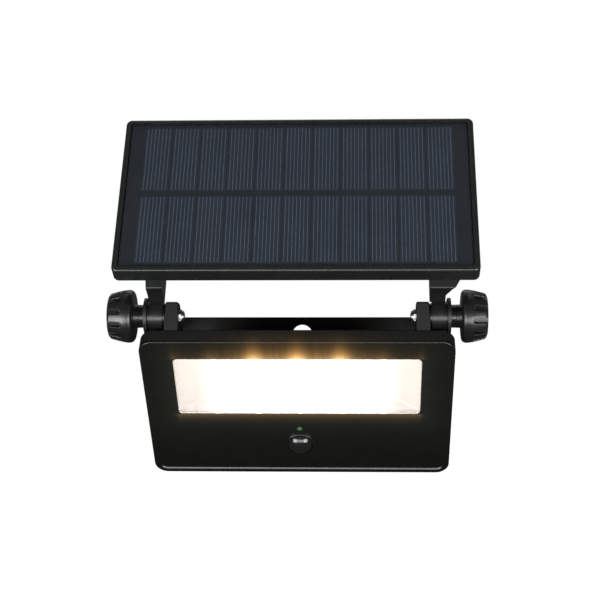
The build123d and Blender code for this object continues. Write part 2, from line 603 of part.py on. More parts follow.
# ---- assembly --------------------------------------------------------------------------------
def panel_nodes():
    nodes = {
        "panel_frame": panel_frame(),
        "panel_back_cover": panel_back_cover(),
        "solar_backsheet": laminate_layer(LEDGE_Z, BACKSHEET_T),
        "solar_cells": solar_cells(),
        "solar_cover_sheet": laminate_layer(LEDGE_Z + BACKSHEET_T + CELL_T, COVER_SHEET_T),
        "panel_terminal_board": terminal_board(),
        "blocking_diode": blocking_diode(),
        "left_panel_arm": panel_arm("left"),
        "right_panel_arm": panel_arm("right"),
        "back_cover_screws": one_node(pan_screw(x, y, PANEL_BOTTOM, 7.0) for x, y in PANEL_SCREWS),
        "arm_screws": one_node(pan_screw(side * x, y, PANEL_BOTTOM - 2.0, 6.5)
                               for side in (-1, 1) for x, y in ARM_SCREWS),
        "panel_cable_gland": Location((0, PANEL_MID, PANEL_BOTTOM), (180, 0, 0)) * cable_gland(),
    }
    return {name: PANEL * shape for name, shape in nodes.items()}


def lamp_nodes():
    nodes = {
        "rear_housing": rear_housing(),
        "front_bezel": front_bezel(),
        "housing_gasket": gasket_ring(),
        "window_lens": window_lens(),
        "lens_gasket": lens_gasket(),
        "reflector": reflector(),
        "led_board": led_board(),
        "leds": leds(),
        "control_board": control_board(),
        "board_components": board_components(),
        "mode_switch": mode_switch(),
        "pir_lens": pir_lens(),
        "pir_ring": pir_ring(),
        "pir_sensor": pir_sensor(),
        "indicator_light_pipe": indicator_light(),
        "indicator_led": indicator_led(),
        "button_surround": button_surround(),
        "button_cap": button_cap(),
        "closing_screws": closing_screws(),
        "lamp_cable_gland": Location((GLAND_X, HOUSING_BACK, GLAND_Z), (-90, 0, 0)) * cable_gland(),
    }
    for side, cell in both_sides(battery_cell()).items():
        nodes[f"{side}_battery_cell"] = cell
    for side, tray in both_sides(battery_tray()).items():
        nodes[f"{side}_battery_tray"] = tray
    for side, washer in both_sides(ring_washer(FRICTION_R, LUG_OUT, FRICTION_OUT)).items():
        nodes[f"{side}_friction_washer"] = washer
    for side, nut in both_sides(lock_nut()).items():
        nodes[f"{side}_lock_nut"] = nut
    return {name: LAMP * shape for name, shape in nodes.items()}


def knob_nodes():
    nodes = {}
    for side, phase in GRIP_PHASE.items():
        nodes[f"{side}_knob"] = both_sides(knob(phase))[side]
        nodes[f"{side}_knob_bolt"] = both_sides(knob_bolt())[side]
        nodes[f"{side}_knob_spacer"] = both_sides(ring_washer(SPACER_R, SPACER_IN, SPACER_OUT))[side]
    return {name: AXIS * shape for name, shape in nodes.items()}


os.makedirs("parts", exist_ok=True)
for node, solid in {"wall_bracket": wall_bracket(), **panel_nodes(), **lamp_nodes(), **knob_nodes()}.items():
    export_step(solid, f"parts/{node}.step")
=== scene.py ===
"""Looks of the solar flood light: materials, detail pieces, studio and camera, in metres."""
import math

import bpy
import json
from mathutils import Matrix, Vector

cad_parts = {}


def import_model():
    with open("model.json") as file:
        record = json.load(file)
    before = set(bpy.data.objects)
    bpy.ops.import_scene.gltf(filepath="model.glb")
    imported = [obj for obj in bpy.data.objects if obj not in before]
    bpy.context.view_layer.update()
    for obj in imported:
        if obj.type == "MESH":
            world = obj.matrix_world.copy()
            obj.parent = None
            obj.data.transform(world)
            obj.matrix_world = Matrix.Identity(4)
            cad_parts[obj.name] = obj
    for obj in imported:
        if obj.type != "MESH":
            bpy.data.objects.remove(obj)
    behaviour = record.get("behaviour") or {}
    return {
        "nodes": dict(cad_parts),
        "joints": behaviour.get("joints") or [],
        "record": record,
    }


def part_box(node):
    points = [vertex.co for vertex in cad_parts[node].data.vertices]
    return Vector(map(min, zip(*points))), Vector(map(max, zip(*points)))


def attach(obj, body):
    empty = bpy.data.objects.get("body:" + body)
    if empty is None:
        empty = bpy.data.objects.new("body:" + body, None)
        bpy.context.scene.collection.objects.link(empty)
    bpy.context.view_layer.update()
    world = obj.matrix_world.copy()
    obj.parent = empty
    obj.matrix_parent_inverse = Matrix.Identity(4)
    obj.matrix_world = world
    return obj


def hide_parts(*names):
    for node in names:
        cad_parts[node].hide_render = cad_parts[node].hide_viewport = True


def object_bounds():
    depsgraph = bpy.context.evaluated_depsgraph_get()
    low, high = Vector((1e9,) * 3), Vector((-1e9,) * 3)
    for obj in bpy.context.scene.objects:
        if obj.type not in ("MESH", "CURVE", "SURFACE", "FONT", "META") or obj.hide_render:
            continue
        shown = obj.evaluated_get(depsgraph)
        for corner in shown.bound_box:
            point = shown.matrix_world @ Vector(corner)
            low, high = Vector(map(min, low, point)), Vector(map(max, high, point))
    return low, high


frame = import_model()
NODES = frame["nodes"]
CAD_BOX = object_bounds()

MM = 0.001

# ---- places taken from the frame -------------------------------------------------------------
TILT = next(joint for joint in frame["joints"] if joint["name"] == "lamp_tilt")
PIVOT = Vector(TILT["pos_m"])
LAMP_TURN = math.radians(34.0)
PANEL_TURN = math.radians(50.4)
LAMP_FRAME = Matrix.Translation(PIVOT) @ Matrix.Rotation(LAMP_TURN, 4, "X")
PANEL_FRAME = Matrix.Translation(PIVOT) @ Matrix.Rotation(PANEL_TURN, 4, "X")


def local_box(node, place):
    """Lowest and highest corner of a CAD node in the lamp's or the panel's own frame."""
    inverse = place.inverted()
    corners = [inverse @ vertex.co for vertex in NODES[node].data.vertices]
    low = Vector(min(corner[axis] for corner in corners) for axis in range(3))
    high = Vector(max(corner[axis] for corner in corners) for axis in range(3))
    return low, high


# ---- camera ----------------------------------------------------------------------------------
CAMERA_AIM = Vector((0.00182, -0.07846, 0.03534))
CAMERA_DISTANCE = 0.9004
CAMERA_AZIMUTH = math.radians(2.508)
CAMERA_ELEVATION = math.radians(8.02)
CAMERA_ROLL = math.radians(-0.405)
CAMERA_LENS = 84.0
SENSOR_WIDTH = 36.0

# ---- material helper -------------------------------------------------------------------------
class Finish:
    """A Principled material on which colour, roughness and relief are built from noise."""

    def __init__(self, name, colour, roughness, metallic=0.0):
        self.material = bpy.data.materials.new(name)
        self.material.use_nodes = True
        self.nodes = self.material.node_tree.nodes
        self.links = self.material.node_tree.links
        self.shader = self.nodes["Principled BSDF"]
        self.place = self.add("ShaderNodeTexCoord").outputs["Object"]
        self.shader.inputs["Base Color"].default_value = (*colour, 1.0)
        self.shader.inputs["Roughness"].default_value = roughness
        self.shader.inputs["Metallic"].default_value = metallic

    def add(self, kind, **settings):
        node = self.nodes.new(kind)
        for name, value in settings.items():
            setattr(node, name, value)
        return node

    def feed(self, node, socket, value):
        """Links a socket, or sets a plain value."""
        if isinstance(value, bpy.types.NodeSocket):
            self.links.new(value, node.inputs[socket])
        else:
            node.inputs[socket].default_value = value

    def math(self, operation, first, second=0.0, clamp=False):
        node = self.add("ShaderNodeMath", operation=operation, use_clamp=clamp)
        self.feed(node, 0, first)
        self.feed(node, 1, second)
        return node.outputs[0]

    def noise(self, scale, detail=2.0, place=None, stretch=(1.0, 1.0, 1.0)):
        """Noise whose features are about 1 / scale metres across."""
        mapping = self.add("ShaderNodeMapping")
        self.feed(mapping, "Vector", place or self.place)
        mapping.inputs["Scale"].default_value = stretch
        node = self.add("ShaderNodeTexNoise")
        self.feed(node, "Vector", mapping.outputs[0])
        node.inputs["Scale"].default_value = scale
        node.inputs["Detail"].default_value = detail
        return node.outputs["Fac"]

    def span(self, value, low, high, start=0.3, end=0.7):
        """Value from start to end spread over low to high."""
        node = self.add("ShaderNodeMapRange")
        self.feed(node, "Value", value)
        node.inputs["From Min"].default_value = start
        node.inputs["From Max"].default_value = end
        node.inputs["To Min"].default_value = low
        node.inputs["To Max"].default_value = high
        return node.outputs[0]

    def blend(self, factor, first, second):
        node = self.add("ShaderNodeMix", data_type="RGBA")
        self.feed(node, 0, factor)
        for socket, value in ((6, first), (7, second)):
            self.feed(node, socket, value if isinstance(value, bpy.types.NodeSocket) else (*value, 1.0))
        return node.outputs[2]

    def fade(self, distance, length):
        """One at no distance, falling to a third at the given length."""
        return self.math("EXPONENT", self.math("MULTIPLY", distance, -1.0 / length))

    def product(self, *values):
        result = values[0]
        for value in values[1:]:
            result = self.math("MULTIPLY", result, value)
        return result

    def local(self, place):
        """Coordinates in a turned frame, such as the lamp's own upright frame."""
        mapping = self.add("ShaderNodeMapping", vector_type="TEXTURE")
        self.feed(mapping, "Vector", self.place)
        mapping.inputs["Location"].default_value = place.to_translation()
        mapping.inputs["Rotation"].default_value = place.to_euler()
        split = self.add("ShaderNodeSeparateXYZ")
        self.feed(split, "Vector", mapping.outputs[0])
        return split.outputs

    def vary_colour(self, dark, light, scale, detail=3.0):
        mixed = self.blend(self.span(self.noise(scale, detail), 0.0, 1.0), dark, light)
        self.feed(self.shader, "Base Color", mixed)
        return mixed

    def vary_roughness(self, low, high, scale, detail=4.0, stretch=(1.0, 1.0, 1.0)):
        value = self.span(self.noise(scale, detail, stretch=stretch), low, high)
        self.feed(self.shader, "Roughness", value)

    def relief(self, height, depth, edge=0.0):
        """Bump of the given depth in metres, on normals softened within the given edge radius."""
        node = self.add("ShaderNodeBump")
        self.feed(node, "Height", height)
        node.inputs["Strength"].default_value = 1.0
        node.inputs["Distance"].default_value = depth
        if edge:
            soften = self.add("ShaderNodeBevel", samples=8)
            soften.inputs["Radius"].default_value = edge
            self.feed(node, "Normal", soften.outputs[0])
        self.feed(self.shader, "Normal", node.outputs[0])


# ---- finishes, one for each material slot of the record --------------------------------------
def moulded(name, dark, light, rough, grain, depth):
    """Injection-moulded plastic: a fine spark-eroded grain with slow sink and flow variation."""
    finish = Finish(name, dark, rough[0])
    finish.vary_colour(dark, light, 90.0)
    finish.vary_roughness(rough[0], rough[1], 220.0)
    fine = finish.noise(grain, 3.0)
    slow = finish.noise(60.0, 1.0)
    finish.relief(finish.math("ADD", fine, finish.math("MULTIPLY", slow, 1.5)), depth)
    return finish


def housing_black():
    dark, light = (0.0095, 0.0100, 0.0097), (0.0125, 0.0130, 0.0126)
    finish = moulded("housing_black", dark, light, (0.48, 0.56), 1900.0, 0.008 * MM)
    finish.shader.inputs["Specular IOR Level"].default_value = 0.06
    # painted LED glow as emission, reaching over the housing's top edge
    add_painted_led_glow(finish)
    return finish.material


def frame_black():
    return moulded("frame_black", (0.0070, 0.0075, 0.0075), (0.0095, 0.0100, 0.0100), (0.24, 0.32), 1600.0,
                   0.003 * MM).material


def arm_black():
    return moulded("arm_black", (0.0042, 0.0045, 0.0045), (0.0060, 0.0063, 0.0063), (0.30, 0.36), 1700.0,
                   0.003 * MM).material


def knob_black():
    return moulded("knob_black", (0.0045, 0.0048, 0.0048), (0.0065, 0.0068, 0.0068), (0.27, 0.33), 1500.0,
                   0.004 * MM).material


def tray_black():
    return moulded("tray_black", (0.03, 0.03, 0.03), (0.045, 0.045, 0.045), (0.5, 0.6), 1200.0,
                   0.02 * MM).material


def component_black():
    return moulded("component_black", (0.03, 0.03, 0.031), (0.05, 0.05, 0.05), (0.45, 0.6), 2500.0,
                   0.01 * MM).material


def washer_nylon():
    return moulded("washer_nylon", (0.006, 0.006, 0.006), (0.010, 0.010, 0.010), (0.22, 0.32), 2200.0,
                   0.008 * MM).material


def bezel_black():
    """Satin-gloss moulding, with a painted warm glow of the LEDs, given as emission, above and below the
    window.
    """
    finish = Finish("bezel_black", (0.0020, 0.0023, 0.0018), 0.3)
    finish.vary_colour((0.0018, 0.0021, 0.0016), (0.0028, 0.0030, 0.0024), 70.0)
    finish.vary_roughness(0.24, 0.31, 160.0)
    finish.relief(finish.noise(1400.0, 2.0), 0.003 * MM)
    add_painted_led_glow(finish)
    return finish.material


# Painted glow of the LEDs on the lamp's face, given as emission rather than cast by a lamp.
LED_PITCH = 28.0 * MM
WINDOW_LAP = 3.0 * MM     # how far the reflector's flange reaches past the window
ROW_REACH = 42.0 * MM     # distance from the middle at which the row of LEDs ends
PEAK_POWER = 2.8          # how narrow the bright spot over each LED is
STRAY = 0.08              # share of the glow left beyond the row's ends
BLOOM, BLOOM_LENGTH = 0.48, 5.4 * MM    # even glow above the window
FLARE, FLARE_LENGTH = 1.3, 4.2 * MM     # spots over the LEDs
UNDER, UNDER_LENGTH = 0.16, 2.8 * MM    # glow below the window
HALO, HALO_LENGTH = 0.016, 16.0 * MM    # faint light all round the window
SIDE_LENGTH = 1.2 * MM
AMBER, PALE_AMBER, HALO_TINT = (1.0, 0.50, 0.13), (1.0, 0.66, 0.34), (0.92, 1.0, 0.72)


def add_painted_led_glow(finish):
    """Painted LED glow: warm emission creeping over the face from the window, and round its top edge onto
    the housing.
    """
    window_low, window_high = local_box("reflector", LAMP_FRAME)
    face = local_box("front_bezel", LAMP_FRAME)[0].y
    across, depth, height = finish.local(LAMP_FRAME)
    side = finish.math("ABSOLUTE", across)

    def past(value, edge):
        return finish.math("MAXIMUM", finish.math("SUBTRACT", value, edge), 0.0)

    above = past(height, window_high.z - WINDOW_LAP)
    below = past(finish.math("MULTIPLY", height, -1.0), -window_low.z - WINDOW_LAP)
    beside = past(side, window_high.x - WINDOW_LAP)
    round_top = past(depth, face)
    wave = finish.math("COSINE", finish.math("MULTIPLY", across, 2 * math.pi / LED_PITCH))
    peaks = finish.math("POWER", finish.span(wave, 0.0, 1.0, -1.0, 1.0), PEAK_POWER)
    centred = finish.math("POWER", finish.math("MULTIPLY", side, 1.0 / ROW_REACH), 4.0)
    centred = finish.math("EXPONENT", finish.math("MULTIPLY", centred, -1.0))
    centred = finish.math("ADD", centred, STRAY)
    streaks = finish.span(finish.noise(450.0, 2.0, stretch=(1.0, 0.1, 0.1)), 0.85, 1.15)
    climb = finish.math("ADD", above, round_top)
    within = finish.fade(beside, SIDE_LENGTH)
    on_face = finish.fade(round_top, 2.0 * MM)
    is_above = finish.math("GREATER_THAN", above, 0.0)
    is_below = finish.math("GREATER_THAN", below, 0.0)
    bloom = finish.product(finish.fade(climb, BLOOM_LENGTH), centred, streaks, BLOOM)
    flare = finish.product(finish.fade(climb, FLARE_LENGTH), peaks, centred, FLARE)
    upper = finish.product(finish.math("ADD", bloom, flare), is_above, within)
    lower = finish.product(finish.fade(below, UNDER_LENGTH), on_face, is_below, within, UNDER)
    edge_gap = finish.math("ADD", above, below)
    squares = finish.math("ADD", finish.product(beside, beside), finish.product(edge_gap, edge_gap))
    away = finish.math("SQRT", squares)
    halo = finish.product(finish.fade(away, HALO_LENGTH), finish.fade(round_top, 4.0 * MM), HALO)
    warm = finish.math("ADD", upper, lower)
    near = finish.blend(finish.fade(climb, 3.0 * MM), AMBER, PALE_AMBER)
    total = finish.math("ADD", warm, halo)
    share = finish.math("DIVIDE", halo, finish.math("ADD", total, 0.00001))
    # painted glow: emission colour and strength stand in for the LEDs' light on this surface
    finish.feed(finish.shader, "Emission Color", finish.blend(share, near, HALO_TINT))
    finish.feed(finish.shader, "Emission Strength", total)


def bracket_paint():
    """Powder coat: a slow orange peel over the steel strip."""
    finish = Finish("bracket_paint", (0.005, 0.0054, 0.0048), 0.3)
    finish.vary_colour((0.0045, 0.0048, 0.0043), (0.0068, 0.0071, 0.0062), 120.0)
    finish.vary_roughness(0.42, 0.50, 350.0)
    finish.relief(finish.noise(750.0, 2.0), 0.0015 * MM)
    return finish.material


def cover_clear():
    """Hard-coated clear sheet: mostly see-through, with a soft gloss and faint hairlines."""
    finish = Finish("cover_clear", (0.02, 0.024, 0.03), 0.1)
    finish.vary_colour((0.016, 0.020, 0.026), (0.024, 0.029, 0.036), 60.0)
    finish.vary_roughness(0.06, 0.11, 300.0, stretch=(1.0, 0.2, 0.2))
    clear = finish.add("ShaderNodeBsdfTransparent")
    mix = finish.add("ShaderNodeMixShader")
    finish.feed(mix, 0, 0.22)
    finish.feed(mix, 1, clear.outputs[0])
    finish.feed(mix, 2, finish.shader.outputs[0])
    finish.feed(finish.nodes["Material Output"], "Surface", mix.outputs[0])
    return finish.material


def lens_clear():
    """Clear polycarbonate that the LEDs light through, with hairline scratches in its gloss."""
    tint, roughness = (0.98, 0.98, 0.98), 0.02
    finish = Finish("lens_clear", tint, roughness)
    finish.shader.inputs["Transmission Weight"].default_value = 1.0
    finish.shader.inputs["IOR"].default_value = 1.5
    finish.vary_roughness(roughness, roughness + 0.03, 700.0, stretch=(1.0, 0.15, 0.15))
    clear = finish.add("ShaderNodeBsdfTransparent")
    clear.inputs["Color"].default_value = (*tint, 1.0)
    path = finish.add("ShaderNodeLightPath")
    mix = finish.add("ShaderNodeMixShader")
    finish.feed(mix, 0, path.outputs["Is Shadow Ray"])
    finish.feed(mix, 1, finish.shader.outputs[0])
    finish.feed(mix, 2, clear.outputs[0])
    finish.feed(finish.nodes["Material Output"], "Surface", mix.outputs[0])
    return finish.material


def backsheet_black():
    """Dark laminate with a faint woven print-through of its glass fleece."""
    finish = Finish("backsheet_black", (0.010, 0.013, 0.016), 0.5)
    finish.vary_colour((0.009, 0.012, 0.015), (0.012, 0.016, 0.019), 400.0)
    finish.vary_roughness(0.4, 0.55, 600.0)
    finish.relief(finish.noise(2600.0, 2.0), 0.01 * MM)
    return finish.material


def cell_silicon():
    """Navy nitride coating whose tone drifts a little from cell to cell."""
    finish = Finish("cell_silicon", (0.020, 0.031, 0.052), 0.5)
    finish.vary_colour((0.017, 0.027, 0.046), (0.023, 0.036, 0.058), 45.0)
    finish.vary_roughness(0.45, 0.55, 300.0)
    finish.relief(finish.noise(3200.0, 2.0), 0.002 * MM)
    return finish.material


def finger_silver():
    """Screen-printed silver collector lines, slightly ragged."""
    finish = Finish("finger_silver", (0.15, 0.18, 0.21), 0.5)
    finish.vary_colour((0.11, 0.135, 0.165), (0.19, 0.215, 0.25), 500.0)
    finish.vary_roughness(0.45, 0.6, 1500.0)
    finish.relief(finish.noise(4000.0, 2.0), 0.002 * MM)
    return finish.material


# Where the tray's painted LED light turns creamy: towards its end walls, and towards their lower corners.
END_WALL_SPAN = (46.0 * MM, 68.0 * MM)
LOWER_CORNER_SPAN = (-30.0 * MM, -66.0 * MM)


def reflector_white():
    """White moulded tray with the LEDs' light painted on as emission: bright floor, cream end walls."""
    finish = Finish("reflector_white", (0.20, 0.195, 0.185), 0.45)
    finish.vary_roughness(0.4, 0.5, 400.0)
    finish.relief(finish.noise(1500.0, 2.0), 0.01 * MM)
    across, _, height = finish.local(LAMP_FRAME)
    # painted light: emission that turns creamier towards the end walls and their lower corners
    side = finish.span(finish.math("ABSOLUTE", across), 0.0, 1.0, *END_WALL_SPAN)
    corner = finish.span(height, 0.0, 1.0, *LOWER_CORNER_SPAN)
    painted_end_wall_light = finish.blend(corner, (0.52, 0.43, 0.34), (0.48, 0.39, 0.34))
    painted_tray_light = finish.blend(side, (1.0, 0.98, 0.92), painted_end_wall_light)
    finish.feed(finish.shader, "Emission Color", painted_tray_light)
    finish.shader.inputs["Emission Strength"].default_value = 0.95
    return finish.material


def led_phosphor():
    finish = Finish("led_phosphor", (1.0, 0.80, 0.42), 0.4)
    finish.vary_colour((1.0, 0.78, 0.38), (1.0, 0.84, 0.50), 900.0)
    finish.shader.inputs["Emission Color"].default_value = (1.0, 0.86, 0.62, 1.0)
    finish.shader.inputs["Emission Strength"].default_value = 1.2
    return finish.material


def led_board_white():
    finish = Finish("led_board_white", (0.80, 0.81, 0.80), 0.4)
    finish.vary_colour((0.78, 0.79, 0.78), (0.84, 0.85, 0.84), 200.0)
    finish.relief(finish.noise(2000.0, 2.0), 0.008 * MM)
    return finish.material


def circuit_board():
    finish = Finish("circuit_board", (0.015, 0.10, 0.04), 0.35)
    finish.vary_colour((0.012, 0.085, 0.035), (0.02, 0.13, 0.05), 600.0)
    finish.vary_roughness(0.3, 0.42, 900.0)
    finish.relief(finish.noise(1800.0, 2.0), 0.01 * MM)
    return finish.material


def gasket_rubber():
    finish = Finish("gasket_rubber", (0.018, 0.018, 0.018), 0.65)
    finish.vary_colour((0.015, 0.015, 0.015), (0.024, 0.024, 0.024), 300.0)
    finish.vary_roughness(0.55, 0.7, 700.0)
    finish.relief(finish.noise(1800.0, 2.0), 0.015 * MM, 0.3 * MM)
    return finish.material


def battery_sleeve():
    finish = Finish("battery_sleeve", (0.03, 0.11, 0.32), 0.3)
    finish.vary_colour((0.027, 0.10, 0.29), (0.035, 0.13, 0.36), 150.0)
    finish.relief(finish.noise(500.0, 1.0), 0.02 * MM)
    return finish.material


def sensor_lens_black():
    """Infrared-clear polyethylene dome: glossy black with a faint faceting."""
    finish = Finish("sensor_lens_black", (0.007, 0.007, 0.0075), 0.12)
    finish.vary_colour((0.006, 0.006, 0.0065), (0.009, 0.009, 0.0095), 200.0)
    finish.vary_roughness(0.10, 0.17, 400.0)
    finish.relief(finish.noise(260.0, 1.0), 0.02 * MM)
    return finish.material


def steel(name, dark, light, rough, edge=0.2 * MM):
    """Plated or blackened steel, turned: faint rings of roughness round the pivot axis."""
    finish = Finish(name, dark, rough[0], metallic=1.0)
    finish.vary_colour(dark, light, 500.0)
    finish.vary_roughness(rough[0], rough[1], 900.0, stretch=(4.0, 1.0, 1.0))
    finish.relief(finish.noise(2500.0, 2.0, stretch=(3.0, 1.0, 1.0)), 0.003 * MM, edge)
    return finish.material


def zinc_steel():
    return steel("zinc_steel", (0.24, 0.235, 0.22), (0.32, 0.31, 0.29), (0.26, 0.36))


def black_steel():
    return steel("black_steel", (0.05, 0.05, 0.052), (0.09, 0.09, 0.092), (0.3, 0.45))


def sensor_can():
    return steel("sensor_can", (0.55, 0.55, 0.54), (0.65, 0.65, 0.64), (0.2, 0.3))


def indicator_green():
    """Green light pipe, lit from behind."""
    finish = Finish("indicator_green", (0.03, 0.11, 0.05), 0.35)
    finish.vary_colour((0.025, 0.09, 0.04), (0.04, 0.13, 0.06), 900.0)
    finish.shader.inputs["Emission Color"].default_value = (0.16, 0.50, 0.18, 1.0)
    finish.shader.inputs["Emission Strength"].default_value = 0.02
    return finish.material


MATERIALS = {make.__name__: make() for make in (
    housing_black, frame_black, arm_black, knob_black, tray_black, component_black, washer_nylon,
    bezel_black, bracket_paint, cover_clear, lens_clear, backsheet_black, cell_silicon,
    reflector_white, led_phosphor, led_board_white, circuit_board, gasket_rubber, battery_sleeve,
    sensor_lens_black, zinc_steel, black_steel, sensor_can, indicator_green)}


def dress_nodes():
    """Every CAD node takes the finish of its record slot."""
    slots = {part["node"]: part["material_slot"] for part in frame["record"]["subparts"]}
    for name, node in NODES.items():
        node.data.materials.clear()
        node.data.materials.append(MATERIALS[slots[name]])


# ---- mesh helpers ----------------------------------------------------------------------------
def new_piece(name, mesh, material, body):
    piece = bpy.data.objects.new(name, mesh)
    bpy.context.scene.collection.objects.link(piece)
    mesh.materials.append(material)
    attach(piece, body)
    return piece


def mesh_from(name, vertices, faces, place=None, smooth=True):
    mesh = bpy.data.meshes.new(name)
    mesh.from_pydata(vertices, [], faces)
    if place:
        mesh.transform(place)
    mesh.update()
    for polygon in mesh.polygons:
        polygon.use_smooth = smooth
    return mesh


def boxes(spans):
    """Vertices and faces of axis-aligned boxes, given as (x0, x1, y0, y1, z0, z1)."""
    vertices, faces = [], []
    quads = ((0, 1, 3, 2), (4, 6, 7, 5), (0, 4, 5, 1), (2, 3, 7, 6), (0, 2, 6, 4), (1, 5, 7, 3))
    for x0, x1, y0, y1, z0, z1 in spans:
        start = len(vertices)
        vertices += [(x, y, z) for x in (x0, x1) for y in (y0, y1) for z in (z0, z1)]
        faces += [tuple(start + corner for corner in quad) for quad in quads]
    return vertices, faces


# ---- solar panel detail ----------------------------------------------------------------------
CELL_COLUMNS = 11
CELL_PITCH = 18.5 * MM
CELL_LENGTH = 51.0 * MM
ROW_GAP = 4.6 * MM
FINGER_INSET = 0.6 * MM    # how far a line stops short of its cell's ends
FINGERS = 7
FINGER_PITCH = 2.41 * MM
FINGER_WIDTH = 0.34 * MM
FINGER_HEIGHT = 0.03 * MM


def cell_fingers():
    """Silver collector lines printed along every cell."""
    low, high = local_box("solar_cells", PANEL_FRAME)
    middle = (low.y + high.y) / 2
    half = CELL_LENGTH / 2 - FINGER_INSET
    spans = []
    for column in range(CELL_COLUMNS):
        centre = (column - (CELL_COLUMNS - 1) / 2) * CELL_PITCH
        for row in (-1, 1):
            row_middle = middle + row * (CELL_LENGTH + ROW_GAP) / 2
            for finger in range(FINGERS):
                x = centre + (finger - (FINGERS - 1) / 2) * FINGER_PITCH
                spans.append((x - FINGER_WIDTH / 2, x + FINGER_WIDTH / 2,
                              row_middle - half, row_middle + half,
                              high.z - FINGER_HEIGHT, high.z + FINGER_HEIGHT))
    mesh = mesh_from("cell_fingers", *boxes(spans), PANEL_FRAME, smooth=False)
    return new_piece("cell_fingers", mesh, finger_silver(), "panel")


def rounded_outline(x0, x1, y0, y1, radius, steps=6):
    """Corner points of a rounded rectangle, anticlockwise."""
    points = []
    corners = ((x1 - radius, y1 - radius, 0), (x0 + radius, y1 - radius, 90),
               (x0 + radius, y0 + radius, 180), (x1 - radius, y0 + radius, 270))
    for cx, cy, start in corners:
        for step in range(steps + 1):
            angle = math.radians(start + 90 * step / steps)
            points.append((cx + radius * math.cos(angle), cy + radius * math.sin(angle)))
    return points


SHEET_GAP = 0.06 * MM
SHEET_CORNER = 1.0 * MM


def cover_sheet():
    """Clear sheet over the cells with rounded edges, just clear of the cells below it."""
    low, high = local_box("solar_cover_sheet", PANEL_FRAME)
    bottom, top = low.z + SHEET_GAP, high.z
    layers = ((bottom, 0.08 * MM), (bottom + 0.12 * MM, 0.0), (top - 0.1 * MM, 0.0), (top, 0.1 * MM))
    vertices, faces = [], []
    for height, inset in layers:
        outline = rounded_outline(low.x + inset, high.x - inset, low.y + inset, high.y - inset, SHEET_CORNER)
        vertices += [(x, y, height) for x, y in outline]
    count = len(vertices) // len(layers)
    for layer in range(len(layers) - 1):
        for index in range(count):
            after = (index + 1) % count
            base = layer * count
            faces.append((base + index, base + after, base + count + after, base + count + index))
    faces.append(tuple(reversed(range(count))))
    faces.append(tuple(range(len(vertices) - count, len(vertices))))
    mesh = mesh_from("cover_sheet", vertices, faces, PANEL_FRAME, smooth=False)
    piece = new_piece("cover_sheet", mesh, MATERIALS["cover_clear"], "panel")
    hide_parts("solar_cover_sheet")
    return piece


# ---- turned pieces ---------------------------------------------------------------------------
def turned(name, rows, turns, sign, place, closed_loop=False):
    """Skin over rows of radii: each row is (distance along X, [radius at each turn about X])."""
    steps = len(turns)
    vertices = []
    for along, reaches in rows:
        for turn, reach in zip(turns, reaches):
            vertices.append((sign * along, -reach * math.sin(turn), reach * math.cos(turn)))
    bands = [(row, row + 1) for row in range(len(rows) - 1)]
    if closed_loop:
        bands.append((len(rows) - 1, 0))
    faces = []
    for first, second in bands:
        for index in range(steps):
            after = (index + 1) % steps
            a, b = first * steps, second * steps
            quad = (a + index, a + after, b + after, b + index)
            faces.append(quad if sign > 0 else tuple(reversed(quad)))
    if not closed_loop:
        start, end = tuple(range(steps)), tuple(range(len(vertices) - steps, len(vertices)))
        faces.append(tuple(reversed(start)) if sign > 0 else start)
        faces.append(end if sign > 0 else tuple(reversed(end)))
    return mesh_from(name, vertices, faces, place)


def even_turns(steps):
    return [2 * math.pi * index / steps for index in range(steps)]


def arc_points(x0, r0, x1, r1, steps, concave=False):
    """Quarter-ellipse from (x0, r0) to (x1, r1), leaving the first point along the radius."""
    points = []
    for step in range(1, steps + 1):
        angle = math.radians(90 * step / steps)
        along, out = 1 - math.cos(angle), math.sin(angle)
        if concave:
            along, out = out, along
        points.append((x0 + (x1 - x0) * along, r0 + (r1 - r0) * out))
    return points


# ---- hand knobs ------------------------------------------------------------------------------
KNOB_GRIPS = 12
GRIP_PHASE = {"left": math.radians(11.0), "right": math.radians(2.5)}
GRIP_HALF = 1.75 * MM
GRIP_LENGTH = 9.5 * MM
GRIP_FLOOR = 12.9 * MM
GRIP_WALL = 0.3 * MM     # rounded width of a slot's edge
GRIP_MIDDLE_R = 15.5 * MM     # where a slot's width is turned into an angle
KNOB_NECK = 3.3 * MM
KNOB_NECK_R = 7.5 * MM
KNOB_EDGE_R = 14.9 * MM
KNOB_EDGE = 2.4 * MM     # how far the outer edge's rounding reaches along the knob
KNOB_FACE_R = 11.6 * MM


def knob_outline(inner, outer, radius):
    """Half section of the knob from its neck's bore round to the recess in its face, as (x, radius)."""
    start = inner - KNOB_NECK
    shoulder = 2.6 * MM
    widest = inner + 3.2 * MM
    points = [(start, 2.6 * MM), (start, KNOB_NECK_R - 0.3 * MM)]
    points += arc_points(start, KNOB_NECK_R - 0.3 * MM, start + 0.3 * MM, KNOB_NECK_R, 3)
    points += [(inner - 0.5 * MM, KNOB_NECK_R)]
    points += arc_points(inner - 0.5 * MM, KNOB_NECK_R, inner, KNOB_NECK_R + 0.5 * MM, 4, concave=True)
    points += [(inner, radius - shoulder)]
    points += arc_points(inner, radius - shoulder, widest, radius, 10)
    side_rows = 56
    for step in range(1, side_rows + 1):
        share = step / side_rows
        sag = (radius - KNOB_EDGE_R) * share ** 1.5
        points.append((widest + (outer - KNOB_EDGE - widest) * share, radius - sag))
    points += arc_points(outer - KNOB_EDGE, KNOB_EDGE_R, outer, KNOB_FACE_R, 10, concave=True)
    points += [(outer, 10.0 * MM), (outer - 0.15 * MM, 9.4 * MM), (outer - 0.5 * MM, 9.05 * MM)]
    points += [(outer - 1.5 * MM, 9.0 * MM), (outer - 1.5 * MM, 5.1 * MM), (outer - 1.8 * MM, 4.85 * MM)]
    points += [(outer - 6.9 * MM, 4.85 * MM), (outer - 6.9 * MM, 2.5 * MM)]
    return points


